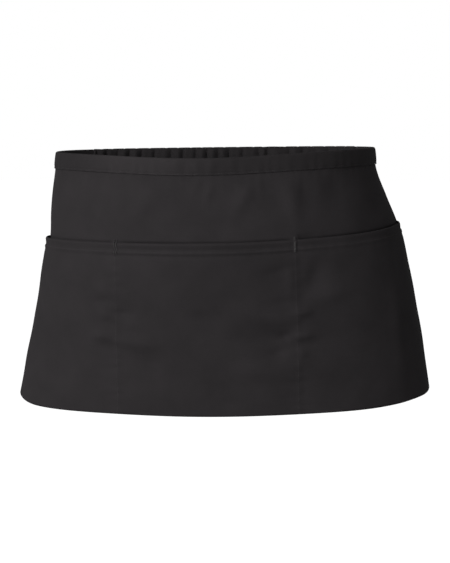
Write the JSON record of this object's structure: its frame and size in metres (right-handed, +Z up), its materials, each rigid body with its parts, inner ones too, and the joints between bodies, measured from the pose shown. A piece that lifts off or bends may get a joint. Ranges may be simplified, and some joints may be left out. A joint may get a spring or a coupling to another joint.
{
  "type": "waist apron",
  "caption": "Short work apron worn at the waist: a bound waistband, a front panel, and a row of wide open pockets closed at the sides by stitched dividers.",
  "frame": {"origin": "centre of the waist opening, level with the middle of the waistband's depth", "axes": "+Z up along the wearer's waist, -Y to the wearer's front where the pockets are, +X to the right as seen from the front"},
  "size_m": [0.4727, 0.2613, 0.2971],
  "materials": {
    "twill": "black cotton and polyester twill, matt, softly creased",
    "binding": "black twill folded into a binding, matt, gathered over elastic at the back",
    "thread": "dense bars of black polyester sewing thread, slightly shiny"
  },
  "bodies": {
    "root": {"skirt_panel": "twill", "pocket_panel": "twill", "waistband": "binding", "back_band": "binding", "bar_tack_left": "thread", "bar_tack_right": "thread"}
  },
  "joints": []
}
